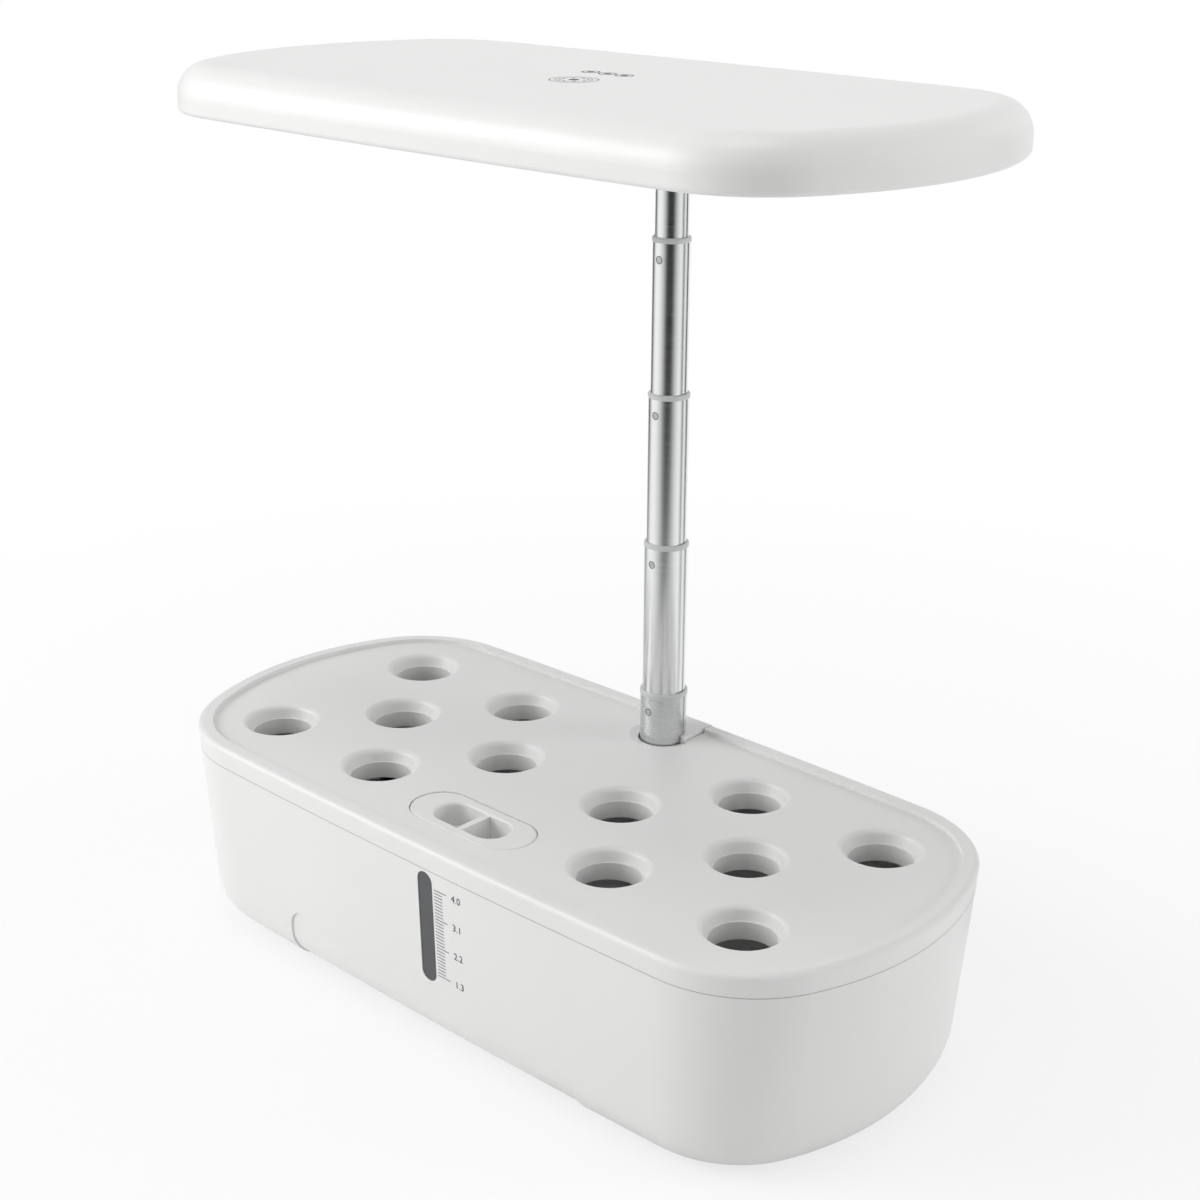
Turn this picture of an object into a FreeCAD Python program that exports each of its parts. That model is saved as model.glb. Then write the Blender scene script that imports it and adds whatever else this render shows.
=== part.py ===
import FreeCAD, Part
import math
import os
import re
import Sketcher

# Countertop hydroponic garden: a water tank with a lift-off grow deck, a telescopic pole
# at the back and a flat grow lamp. Millimetres, Z up, X along the tank, the level window
# faces -Y. Everything is built about the middle of the tank with Z = 0 on the worktop, and
# at the end each sub-part is moved back so that the origin is under the middle of the
# whole garden.

V = FreeCAD.Vector
doc = FreeCAD.newDocument("CountertopGarden")

DIMENSIONS = (
    # Tank and deck outline
    ("base_length", 392, "length over the tank's rim"),
    ("base_width", 179, "width over the tank's rim"),
    ("base_corner", 56, "corner radius of the rim in plan"),
    ("end_bulge", 7, "how far each end bows out between its corners"),
    ("side_bulge", 2, "how far each long side bows out"),
    ("end_taper", 8.5, "how far each end leans in from rim to floor"),
    ("side_taper", 3, "how far each long side leans in from rim to floor"),
    ("bottom_round", 19, "radius of the tank's bottom edge"),
    ("deck_height", 96, "deck surface above the worktop"),
    ("rim_rise", 2, "rim above the deck surface"),
    ("rim_width", 7, "width of the raised rim"),
    ("rim_edge", 2.5, "radius of the rim's outer edge"),
    ("seam_drop", 8, "seam between deck and tank below the deck surface"),
    ("wall", 2.8, "tank wall"),
    ("tank_floor", 3, "tank floor"),
    ("foot_rise", 1.2, "underside of the tank above the worktop"),
    ("deck_plate", 3, "thickness of the deck plate"),
    ("lip_wall", 2.4, "thickness of the deck's locating lip"),
    ("lip_depth", 5, "how far the lip reaches into the tank"),
    ("fit_gap", 0.6, "gap between deck and tank parts that lift apart"),
    # Grip recess low on the front
    ("grip_length", 180, "length of the grip recess"),
    ("grip_height", 30, "height of the grip recess above the tank's underside"),
    ("grip_corner", 9, "corner radius of the grip recess"),
    ("grip_depth", 0.8, "depth of the grip recess"),
    ("grip_under", 29.5, "how far the grip recess runs back under the tank"),
    # Pod holes
    ("pod_pitch", 71, "spacing of the pod holes along the deck"),
    ("pod_row", 45.5, "distance of the outer rows from the middle row"),
    ("pod_dish", 19.2, "radius of the soft dish round a pod hole"),
    ("pod_neck", 16, "radius of a pod hole at its neck"),
    ("pod_seat", 14.8, "radius at the ledge that a basket hangs on"),
    ("pod_bore", 13.8, "radius of the hole below the ledge"),
    ("pod_boss", 18.4, "outer radius of the hole's boss"),
    ("dish_depth", 2.2, "depth of the dish"),
    ("seat_depth", 5.6, "depth of the ledge below the deck"),
    ("boss_depth", 9.2, "depth of the boss below the deck"),
    # Fill cap
    ("cap_length", 67, "length of the fill cap"),
    ("cap_width", 28, "width of the fill cap"),
    ("cap_plate", 2.4, "thickness of the cap's plate"),
    ("cap_in", 34.3, "fill cap behind the tank's front"),
    ("cap_gap", 0.3, "gap round the cap"),
    ("cap_seat", 3, "width of the ledge that the cap rests on"),
    ("cap_frame", 1.6, "wall of the frame round the cap's seat"),
    ("cap_frame_drop", 2, "depth of that frame below the cap's plate"),
    ("pocket_edge", 1.2, "radius of the finger pocket's mouth"),
    ("pocket_length", 40, "length of the cap's finger pocket"),
    ("pocket_width", 17.6, "width of the cap's finger pocket"),
    ("pocket_depth", 11, "depth of the finger pocket"),
    ("pocket_wall", 1.8, "wall of the finger pocket"),
    ("web_width", 3, "thickness of the grip web across the pocket"),
    ("web_drop", 1.2, "top of the grip web below the cap"),
    # Level window
    ("window_offset", 6, "window to the right of the tank's middle"),
    ("window_width", 9, "width of the window"),
    ("window_height", 53, "height of the window"),
    ("window_level", 60, "middle of the window above the worktop"),
    ("window_lip", 3, "how far the window's flange reaches past the slot"),
    ("window_flange", 1.6, "thickness of the window's flange"),
    ("window_sunk", 0.4, "window's face below the wall's face"),
    # Feet
    ("foot_radius", 9, "radius of a rubber foot"),
    ("foot_depth", 2.4, "thickness of a rubber foot"),
    ("foot_end", 56, "feet in from the tank's ends"),
    ("foot_side", 34.5, "feet in from the tank's long sides"),
    ("foot_pad", 2, "how far the boss over a foot reaches past it"),
    ("foot_edge", 0.5, "radius of a foot's lower edge"),
    # Pole
    ("pole_in", 21.2, "pole in front of the tank's back"),
    ("tube_radius", 10.8, "outer radius of the lowest tube"),
    ("tube_step", 0.85, "how much smaller each next tube's radius is"),
    ("tube_wall", 0.5, "wall of the tubes"),
    ("tube_bottom", 8, "lower end of the lowest tube above the worktop"),
    ("key_share", 0.53, "width of the key groove as a share of a tube's radius"),
    ("key_depth", 0.25, "depth of the key groove"),
    ("rise_first", 24, "collar of the lowest tube above the deck"),
    ("rise_second", 72.5, "second collar above the first"),
    ("rise_third", 69.5, "third collar above the second"),
    ("rise_fourth", 69, "fourth collar above the third"),
    ("collar_rise", 2.2, "height of a collar ring"),
    ("collar_proud", 0.3, "how far a collar stands out from its tube"),
    ("collar_lip", 8, "how far a collar reaches into its tube"),
    ("slide_gap", 0.06, "radial running gap in the telescope"),
    ("slider_rise", 10, "height of a slider sleeve"),
    ("stop_gap", 0.3, "gap left where a stage meets its stop"),
    ("pin_radius", 1.3, "radius of a collar pin"),
    ("pin_drop", 9.5, "pin below the top of its collar"),
    ("pin_sunk", 0.1, "how far a pin's head lies below the tube's surface"),
    ("column_radius", 15, "radius of the tank's pole column"),
    ("column_gap", 1, "gap between the pole column and the deck plate"),
    ("block_half", 12.8, "half width of the pole block that fills the deck's notch"),
    ("block_edge", 1.5, "radius of the pole block's rear edge"),
    ("notch_gap", 1.0, "gap between the deck's notch and the lowest tube"),
    ("trim_half", 17, "half width of the trim plate round the pole"),
    ("trim_clip", 2.5, "how far the trim's clips reach under the deck plate"),
    ("trim_clip_thick", 1.5, "thickness of the trim's clips"),
    ("notch_flare", 4, "width of the dish round the pole"),
    ("notch_sink", 1.2, "depth of the dish round the pole"),
    ("plug_rise", 10, "height of the pole's foot plug"),
    ("plug_screw", 2, "radius of the foot screw's hole in the tank"),
    ("plug_thread", 1.6, "radius of the pole's foot screw"),
    ("screw_head", 4, "radius of the foot screw's head"),
    ("screw_head_rise", 2, "height of the foot screw's head"),
    # Power inlet
    ("inlet_height", 62, "power inlet above the worktop"),
    ("inlet_outer", 4.4, "radius of the inlet's body"),
    ("inlet_bore", 2.85, "radius of the inlet's socket"),
    ("inlet_pin", 1.05, "radius of the inlet's centre pin"),
    ("inlet_depth", 8, "depth of the inlet"),
    ("inlet_flange", 5.6, "radius of the inlet's flange"),
    ("inlet_flange_thick", 1.2, "thickness of the inlet's flange"),
    ("inlet_stop", 0.8, "wall left between the inlet and the lowest tube"),
    # Lamp
    ("lamp_rise", 286, "underside of the lamp above the deck"),
    ("lamp_length", 371, "length of the lamp"),
    ("lamp_width", 188, "width of the lamp"),
    ("lamp_thick", 20, "thickness of the lamp"),
    ("lamp_reach", 58.3, "middle of the lamp in front of the pole"),
    ("lamp_corner", 48, "corner radius of the lamp in plan"),
    ("lamp_end_bulge", 11, "how far each end of the lamp bows out"),
    ("lamp_side_bulge", 2, "how far each long side of the lamp bows out"),
    ("lamp_edge", 13, "radius of the lamp's top edge"),
    ("lamp_under_edge", 2, "radius of the lamp's bottom edge"),
    ("lamp_wall", 2.2, "wall of the lamp's top cover"),
    ("lamp_roof", 2.5, "roof of the lamp's top cover"),
    ("under_recess", 0.8, "lower cover above the top cover's edge"),
    ("under_plate", 2, "thickness of the lower cover"),
    ("glow_length", 290, "length of the light window"),
    ("glow_width", 100, "width of the light window"),
    ("glow_reach", 80.3, "light window in front of the pole"),
    ("glow_corner", 10, "corner radius of the light window"),
    ("lens_lap", 5, "how far the lens laps over the light window"),
    ("lens_thick", 1.5, "thickness of the lens"),
    ("board_thick", 1.6, "thickness of the circuit boards"),
    ("board_level", 8, "underside of the light board above the lamp's underside"),
    ("led_size", 5, "side of a light-emitting diode"),
    ("led_thick", 1.2, "height of a light-emitting diode"),
    ("led_columns", 13, "diodes along the light board"),
    ("led_rows", 5, "diodes across the light board"),
    ("boss_radius", 3.4, "radius of the lamp's screw bosses"),
    ("boss_bore", 1.2, "radius of a screw's hole in a boss"),
    ("boss_roof", 1.2, "roof left over a boss"),
    ("boss_end", 14, "screw bosses in from the lamp's ends"),
    ("boss_side", 11, "screw bosses in from the lamp's long sides"),
    ("boss_spread", 34, "end bosses either side of the lamp's middle line"),
    ("board_boss_in", 20, "light board's bosses in from the light window's ends"),
    ("board_boss_row", 36, "light board's bosses either side of its middle line"),
    ("cover_gap", 0.2, "gap round the lower cover"),
    ("lamp_screw", 1.6, "radius of a screw's hole in the lower cover"),
    ("lamp_screw_sink", 2.9, "radius of the countersunk seat round it"),
    ("pan_head", 2.7, "radius of a lamp screw's head"),
    ("pan_rise", 1.4, "height of a lamp screw's head"),
    ("clamp_screw", 1.3, "radius of a head screw"),
    ("clamp_head", 2.5, "radius of a head screw's head"),
    ("clamp_plate", 2.4, "thickness of the inner clamp's flange"),
    ("touch_length", 64, "length of the touch board"),
    ("touch_width", 48, "width of the touch board"),
    ("touch_drop", 3, "touch board below the roof"),
    ("touch_post_in", 4, "touch board's posts in from its corners"),
    ("head_radius", 15, "radius of the pole head at the lamp"),
    ("head_neck", 10.5, "radius of the pole head at its lower end"),
    ("head_drop", 10, "pole head below the lamp"),
    ("head_reach", 14, "how far the top tube reaches into the lamp"),
    ("head_flange", 18, "radius of the head's flange inside the lamp"),
    # Pump
    ("pump_left", 118, "pump to the left of the tank's middle"),
    ("pump_back", 12, "pump behind the tank's middle"),
    ("pump_length", 40, "length of the pump body along the tank"),
    ("pump_depth", 34, "depth of the pump body across the tank"),
    ("pump_height", 34, "height of the pump body"),
    ("pump_foot", 4, "height of the pump's suction feet"),
    ("chamber_radius", 13, "radius of the impeller chamber"),
    ("chamber_depth", 10, "depth of the impeller chamber"),
    ("rotor_radius", 6, "radius of the rotor magnet"),
    ("rotor_length", 16, "length of the rotor magnet"),
    ("blade_radius", 12, "radius of the impeller's blades"),
    ("blade_thick", 1.2, "thickness of a blade"),
    ("blade_height", 7, "height of a blade along the shaft"),
    ("shaft_radius", 1, "radius of the pump's shaft"),
    ("rotor_gap", 0.5, "gap round the rotor"),
    ("grille_thick", 2.5, "thickness of the intake grille"),
    ("outlet_radius", 5, "outer radius of the pump's outlet"),
    ("outlet_bore", 3.5, "bore of the pump's outlet"),
    ("outlet_rise", 14, "height of the pump's outlet"),
)

# Places that follow from the sizes above, so that pieces stay together when one changes
PLACES = (
    ("pole_back", "=base_width / 2 - pole_in", "pole behind the tank's middle"),
    ("cap_front", "=base_width / 2 - cap_in", "fill cap in front of the deck's middle"),
    ("foot_spread", "=base_length / 2 - foot_end", "feet from the middle, along the tank"),
    ("foot_reach", "=base_width / 2 - foot_side", "feet from the middle, across the tank"),
    ("lamp_back", "=pole_back - lamp_reach", "middle of the lamp behind the tank's middle"),
    ("glow_front", "=glow_reach - pole_back", "light window in front of the tank's middle"),
)

sheet = doc.addObject("Spreadsheet::Sheet", "Dimensions")
for index, (alias, value, note) in enumerate(DIMENSIONS + PLACES, start=1):
    sheet.set(f"A{index}", alias)
    sheet.set(f"B{index}", str(value))
    sheet.setAlias(f"B{index}", alias)
    sheet.set(f"C{index}", note)
doc.recompute()
ALIASES = {alias for alias, value, note in DIMENSIONS + PLACES}
PARTS = {}


def size(alias):
    """Read one driving dimension from the sheet."""
    return float(sheet.get(alias))


def link(text):
    """Turn aliases in an expression into references to the sheet's cells."""
    def cell(match):
        word = match.group(0)
        return f"Dimensions.{word}" if word in ALIASES else word
    return re.sub(r"[a-z][a-z_]*", cell, str(text))


def bind(feature, **properties):
    """Bind properties of a feature to expressions of the driving dimensions."""
    for name, text in properties.items():
        feature.setExpression(name, link(text))
    return feature


def place(feature, x="0", y="0", z="0", turn=None):
    """Put a feature at bound coordinates, turned about an axis first."""
    if turn:
        axis, angle = turn
        feature.Placement = FreeCAD.Placement(V(), FreeCAD.Rotation(axis, angle))
    for axis_name, text in (("x", x), ("y", y), ("z", z)):
        feature.setExpression(f"Placement.Base.{axis_name}", link(text))
    return feature


def cylinder(name, radius, height, x="0", y="0", z="0", turn=None):
    """Cylinder that stands on the given point, or lies along a turned axis."""
    feature = doc.addObject("Part::Cylinder", name)
    bind(feature, Radius=radius, Height=height)
    return place(feature, x, y, z, turn)


def box(name, length, width, height, x="0", y="0", z="0"):
    """Box centred on x and y that stands on z."""
    feature = doc.addObject("Part::Box", name)
    bind(feature, Length=length, Width=width, Height=height)
    return place(feature, f"{x} - ({length}) / 2", f"{y} - ({width}) / 2", z)


def fuse(name, *features):
    """One solid from several that touch or overlap."""
    feature = doc.addObject("Part::MultiFuse", name)
    feature.Shapes = list(features)
    feature.Refine = True
    return feature


def cut(name, base, *tools):
    """Base with one or more tools taken away."""
    feature = doc.addObject("Part::Cut", name)
    feature.Base = base
    feature.Tool = tools[0] if len(tools) == 1 else fuse(f"{name}_tools", *tools)
    return feature


def stadium(name, length, width, height, x="0", y="0", z="0"):
    """Upright slot shape with two half-round ends."""
    reach = f"(({length}) - ({width})) / 2"
    body = box(f"{name}_middle", f"({length}) - ({width})", width, height, x, y, z)
    left = cylinder(f"{name}_left", f"({width}) / 2", height, f"{x} - {reach}", y, z)
    right = cylinder(f"{name}_right", f"({width}) / 2", height, f"{x} + {reach}", y, z)
    return fuse(name, body, left, right)


def turned(name, points, x="0", y="0", z="0"):
    """Body of revolution about Z from a fully dimensioned half profile of (radius, height)."""
    body = doc.addObject("PartDesign::Body", name)
    sketch = body.newObject("Sketcher::SketchObject", f"{name}_profile")
    plane = [item for item in body.Origin.OriginFeatures if item.Role == "XZ_Plane"][0]
    sketch.AttachmentSupport = [(plane, "")]
    sketch.MapMode = "FlatFace"
    values = [[value_of(text) for text in point] for point in points]
    count = len(points)
    for index in range(count):
        start, end = values[index], values[(index + 1) % count]
        sketch.addGeometry(Part.LineSegment(V(*start, 0), V(*end, 0)), False)
    for index in range(count):
        sketch.addConstraint(Sketcher.Constraint("Coincident", index, 2, (index + 1) % count, 1))
    for index, point in enumerate(points):
        for kind, text, value in zip(("DistanceX", "DistanceY"), point, values[index]):
            number = sketch.addConstraint(Sketcher.Constraint(kind, index, 1, value))
            sketch.setExpression(f"Constraints[{number}]", link(text))
    revolution = body.newObject("PartDesign::Revolution", f"{name}_turn")
    revolution.Profile = sketch
    revolution.ReferenceAxis = (sketch, ["V_Axis"])
    revolution.Angle = 360
    body.Tip = revolution
    return place(body, x, y, z)


def value_of(text):
    """Work out an expression of the driving dimensions as a number."""
    probe = re.sub(r"[a-z][a-z_]*", lambda match: f"({size(match.group(0))})", str(text))
    total = FreeCAD.Units.Quantity(probe.replace(" ", ""))
    return float(total.Value)


def keep(name, feature):
    """Name a finished sub-part."""
    feature.Label = name
    PARTS[name] = feature
    return feature


def formed(name, shape):
    """Sub-part whose shape is worked out with plain geometry functions."""
    feature = doc.addObject("Part::Feature", name)
    feature.Shape = shape
    return keep(name, feature)


def outline(length, width, corner, end_bulge, side_bulge, inset, level, back=0):
    """Closed plan outline: four corner arcs, tangent to bowed ends and sides, offset inwards."""
    half_length, half_width = length / 2, width / 2
    corner_centre = V(half_length - corner - end_bulge, half_width - corner - side_bulge, 0)
    side_reach = (corner_centre.x ** 2 + side_bulge ** 2) / (2 * side_bulge)
    end_reach = (corner_centre.y ** 2 + end_bulge ** 2) / (2 * end_bulge)
    side_centre = V(0, half_width - corner - side_reach, 0)
    end_centre = V(half_length - corner - end_reach, 0, 0)
    to_side = (corner_centre - side_centre).normalize()
    to_end = (corner_centre - end_centre).normalize()
    to_tip = (to_side + to_end).normalize()
    side_point = side_centre + to_side * (side_reach + corner - inset)
    end_point = end_centre + to_end * (end_reach + corner - inset)
    tip_point = corner_centre + to_tip * (corner - inset)
    side_middle = V(0, half_width - inset, 0)
    end_middle = V(half_length - inset, 0, 0)

    def at(point, flip_x, flip_y):
        return V(point.x * flip_x, point.y * flip_y + back, level)

    arcs = (
        Part.Arc(at(end_point, 1, -1), at(end_middle, 1, 1), at(end_point, 1, 1)),
        Part.Arc(at(end_point, 1, 1), at(tip_point, 1, 1), at(side_point, 1, 1)),
        Part.Arc(at(side_point, 1, 1), at(side_middle, 1, 1), at(side_point, -1, 1)),
        Part.Arc(at(side_point, -1, 1), at(tip_point, -1, 1), at(end_point, -1, 1)),
        Part.Arc(at(end_point, -1, 1), at(end_middle, -1, 1), at(end_point, -1, -1)),
        Part.Arc(at(end_point, -1, -1), at(tip_point, -1, -1), at(side_point, -1, -1)),
        Part.Arc(at(side_point, -1, -1), at(side_middle, 1, -1), at(side_point, 1, -1)),
        Part.Arc(at(side_point, 1, -1), at(tip_point, 1, -1), at(end_point, 1, -1)),
    )
    return Part.Wire([arc.toShape() for arc in arcs])


def base_outline(level, inset):
    """Outline of the tank and deck at a height, following the lean of the walls."""
    rim = size("deck_height") + size("rim_rise")
    share = (rim - level) / (rim - size("foot_rise"))
    return outline(
        size("base_length") - 2 * size("end_taper") * share,
        size("base_width") - 2 * size("side_taper") * share,
        size("base_corner") - size("side_taper") * share,
        size("end_bulge"), size("side_bulge"), inset, level)


def base_slice(low, high, inset):
    """Solid between two heights, parallel to the leaning walls."""
    return Part.makeLoft([base_outline(low, inset), base_outline(high, inset)], True, True)


def edges_at(shape, level, least=0.0):
    """Edges that lie flat at a height."""
    found = []
    for edge in shape.Edges:
        bounds = edge.BoundBox
        if abs(bounds.ZMin - level) < 0.01 and abs(bounds.ZMax - level) < 0.01 and edge.Length > least:
            found.append(edge)
    return found


def base_form(inset, low, high):
    """Tank form with its rounded bottom edge, shrunk inwards on all sides."""
    solid = base_slice(low, high, inset)
    return solid.makeFillet(size("bottom_round") - inset, edges_at(solid, low))


def rounded_plate(length, width, corner, low, high, x, y):
    """Flat plate with rounded corners in plan."""
    plate = Part.makeBox(length, width, high - low, V(x - length / 2, y - width / 2, low))
    upright = [edge for edge in plate.Edges if edge.BoundBox.ZLength > (high - low) / 2]
    return plate.makeFillet(corner, upright)


def stadium_solid(length, width, low, high, x, y):
    """Slot-shaped plate with half-round ends."""
    return rounded_plate(length, width, width / 2 - 0.001, low, high, x, y)


def upright_stadium(width, height, front, back, x, level):
    """Slot shape that stands upright and reaches from front to back."""
    lying = stadium_solid(height, width, 0, back - front, 0, 0)
    lying.rotate(V(), V(0, 1, 0), 90)
    lying.rotate(V(), V(0, 0, 1), 90)
    lying.translate(V(x, front, level))
    return lying


def pod_places():
    """Middles of the twelve pod holes: two rows of four and a middle row between them."""
    pitch, row = size("pod_pitch"), size("pod_row")
    places = []
    for step in (-2, -1, 1, 2):
        places.append(V(step * pitch, -row, 0))
        places.append(V(step * pitch, row, 0))
    for step in (-1.5, -0.5, 0.5, 1.5):
        places.append(V(step * pitch, 0, 0))
    return places


def corner_places(spread, reach):
    """Four places, mirrored about both middles."""
    return [V(x * spread, y * reach, 0) for x in (-1, 1) for y in (-1, 1)]


# How far a cutting tool reaches past a face, and how far joined solids reach into each other
PAST = 1
SUNK = 1

RIM = size("deck_height") + size("rim_rise")
DECK = size("deck_height")
SEAM = size("deck_height") - size("seam_drop")
UNDER = size("foot_rise")
WALL = size("wall")
POLE_Y = size("pole_back")


def make_tank():
    """Moulded tank: leaning walls, pole column and block, window slot, foot and inlet seats."""
    outer = base_form(0, UNDER, RIM)
    inner = base_form(WALL, UNDER + size("tank_floor"), RIM)
    length, width = size("base_length"), size("base_width")
    below_seam = Part.makeBox(2 * length, 2 * width, SEAM, V(-length, -width, 0))
    shell = outer.common(below_seam).cut(inner)
    column_top = DECK - size("deck_plate") - size("column_gap")
    foot = UNDER + SUNK
    column = Part.makeCylinder(size("column_radius"), column_top - foot, V(0, POLE_Y, foot))
    half = size("block_half")
    behind = Part.makeBox(2 * half, size("base_width"), RIM - foot, V(-half, POLE_Y, foot))
    block = outer.common(behind)
    rear = edges_at(block, RIM)
    rear = [edge for edge in rear if edge.BoundBox.YMin > POLE_Y + SUNK and edge.BoundBox.XLength > half]
    block = block.makeFillet(size("block_edge"), rear)
    tank = shell.fuse(outer.common(column)).fuse(block)
    bore = Part.makeCylinder(size("tube_radius"), RIM, V(0, POLE_Y, size("tube_bottom")))
    screw_way = Part.makeCylinder(size("plug_screw"), size("tube_bottom"), V(0, POLE_Y, UNDER - PAST))
    head_way = Part.makeCylinder(size("screw_head") + 0.5, 2.5 + 0.5, V(0, POLE_Y, UNDER - 0.5))
    slot = upright_stadium(size("window_width"), size("window_height"), -width, -width / 3,
                           size("window_offset"), size("window_level"))
    stop = POLE_Y + size("tube_radius") + size("inlet_stop")
    inlet_way = Part.makeCylinder(size("inlet_outer"), width / 2 - stop + PAST,
                                  V(0, stop, size("inlet_height")), V(0, 1, 0))
    grip = upright_grip().cut(base_form(size("grip_depth"), UNDER + size("grip_depth"), RIM))
    tank = tank.cut(bore).cut(screw_way).cut(head_way).cut(slot).cut(inlet_way).cut(grip)
    for spot in corner_places(size("foot_spread"), size("foot_reach")):
        seat = Part.makeCylinder(size("foot_radius"), size("foot_depth") - UNDER + PAST,
                                 V(spot.x, spot.y, UNDER - PAST))
        pad = Part.makeCylinder(size("foot_radius") + size("foot_pad"), size("foot_depth"),
                                V(spot.x, spot.y, UNDER + SUNK))
        tank = tank.fuse(pad).cut(seat)
    return tank.removeSplitter()


def upright_grip():
    """Prism of the grip recess's arch outline, through the front of the tank."""
    half, top, corner = size("grip_length") / 2, UNDER + size("grip_height"), size("grip_corner")
    turn = corner * (1 - math.sqrt(0.5))
    front = -size("base_width")
    low = -PAST
    left, right = -half, half
    edges = (
        Part.LineSegment(V(left, front, low), V(left, front, top - corner)),
        Part.Arc(V(left, front, top - corner), V(left + turn, front, top - turn), V(left + corner, front, top)),
        Part.LineSegment(V(left + corner, front, top), V(right - corner, front, top)),
        Part.Arc(V(right - corner, front, top), V(right - turn, front, top - turn), V(right, front, top - corner)),
        Part.LineSegment(V(right, front, top - corner), V(right, front, low)),
        Part.LineSegment(V(right, front, low), V(left, front, low)),
    )
    face = Part.Face(Part.Wire([edge.toShape() for edge in edges]))
    return face.extrude(V(0, size("base_width") / 2 + size("grip_under"), 0))


def pod_cutter():
    """Turned tool for one pod hole: soft dish, tapered neck, ledge and bore."""
    dish, neck = size("pod_dish"), size("pod_neck")
    drop = size("dish_depth")
    start, end = V(dish, 0, DECK), V(neck, 0, DECK - drop)
    middle = V(neck + (dish - neck) * 0.3, 0, DECK - drop * 0.3)
    seat, bore = size("pod_seat"), size("pod_bore")
    ledge, bottom, top = DECK - size("seat_depth"), DECK - size("boss_depth") - 1, DECK + 5
    edges = (
        Part.LineSegment(V(0, 0, top), V(dish, 0, top)),
        Part.LineSegment(V(dish, 0, top), start),
        Part.Arc(start, middle, end),
        Part.LineSegment(end, V(seat, 0, ledge)),
        Part.LineSegment(V(seat, 0, ledge), V(bore, 0, ledge)),
        Part.LineSegment(V(bore, 0, ledge), V(bore, 0, bottom)),
        Part.LineSegment(V(bore, 0, bottom), V(0, 0, bottom)),
        Part.LineSegment(V(0, 0, bottom), V(0, 0, top)),
    )
    face = Part.Face(Part.Wire([edge.toShape() for edge in edges]))
    return face.revolve(V(), V(0, 0, 1), 360)


def make_deck():
    """Moulded grow deck: raised rim, locating lip, pod holes, cap seat and pole notch."""
    solid = base_slice(SEAM, RIM, 0)
    solid = solid.makeFillet(size("rim_edge"), edges_at(solid, RIM))
    sunk = base_slice(DECK, RIM + 1, size("rim_width"))
    skirt = WALL + size("lip_wall")
    hollow = base_slice(SEAM - 1, DECK - size("deck_plate"), skirt)
    low = SEAM - size("lip_depth")
    lip = base_slice(low, SEAM, WALL + size("fit_gap")).cut(base_slice(low, SEAM, skirt))
    deck = solid.cut(sunk).cut(hollow).fuse(lip)
    cutter = pod_cutter()
    boss_low = DECK - size("boss_depth")
    for spot in pod_places():
        boss = Part.makeCylinder(size("pod_boss"), size("boss_depth") - 1, V(spot.x, spot.y, boss_low))
        deck = deck.fuse(boss)
    cap_y = -size("cap_front")
    gap, seat = size("cap_gap"), size("cap_seat")
    frame = size("cap_frame")
    frame = stadium_solid(size("cap_length") + 2 * frame, size("cap_width") + 2 * frame,
                          DECK - size("cap_plate") - size("cap_frame_drop"), DECK - SUNK, 0, cap_y)
    deck = deck.fuse(frame)
    for spot in pod_places():
        tool = cutter.copy()
        tool.translate(spot)
        deck = deck.cut(tool)
    seat_tool = stadium_solid(size("cap_length") + 2 * gap, size("cap_width") + 2 * gap,
                              DECK - size("cap_plate"), DECK + 5, 0, cap_y)
    mouth = stadium_solid(size("cap_length") - 2 * seat, size("cap_width") - 2 * seat,
                          DECK - 20, DECK + 5, 0, cap_y)
    half = size("block_half") + size("fit_gap")
    notch_back = Part.makeBox(2 * half, size("base_width"), 60, V(-half, POLE_Y, DECK - 30))
    column_way = pole_cylinder(size("column_radius") + size("column_gap"), 0, DECK - size("deck_plate"))
    deck = deck.cut(seat_tool).cut(mouth).cut(notch_back).cut(trim_block(0, DECK + PAST)).cut(column_way)
    return deck.removeSplitter()


def pole_cylinder(radius, low, high):
    """Cylinder about the pole between two heights."""
    return Part.makeCylinder(radius, high - low, V(0, POLE_Y, low))


def trim_block(low, high):
    """Block in front of the pole that the trim plate fills."""
    half = size("trim_half")
    return Part.makeBox(2 * half, half, high - low, V(-half, POLE_Y - half, low))


def make_trim():
    """Trim plate round the front of the pole: a shallow dish on top and clips below."""
    under, thick = DECK - size("deck_plate"), size("trim_clip_thick")
    radius, flare = size("tube_radius") + size("notch_gap"), size("notch_flare")
    reach, clip = size("trim_half"), size("trim_clip")
    flange = Part.makeBox(2 * (reach + clip), reach + clip, thick, V(-reach - clip, POLE_Y - reach - clip, under - thick))
    root = trim_block(under - thick, under)
    clear = pole_cylinder(size("column_radius") + size("column_gap"), 0, under)
    clips = flange.fuse(root).cut(clear)
    plate = trim_block(under, DECK).fuse(clips)
    dish = Part.makeCone(radius, radius + flare, size("notch_sink"), V(0, POLE_Y, DECK - size("notch_sink")))
    return plate.cut(pole_cylinder(radius, 0, DECK + PAST)).cut(dish).removeSplitter()


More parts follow.
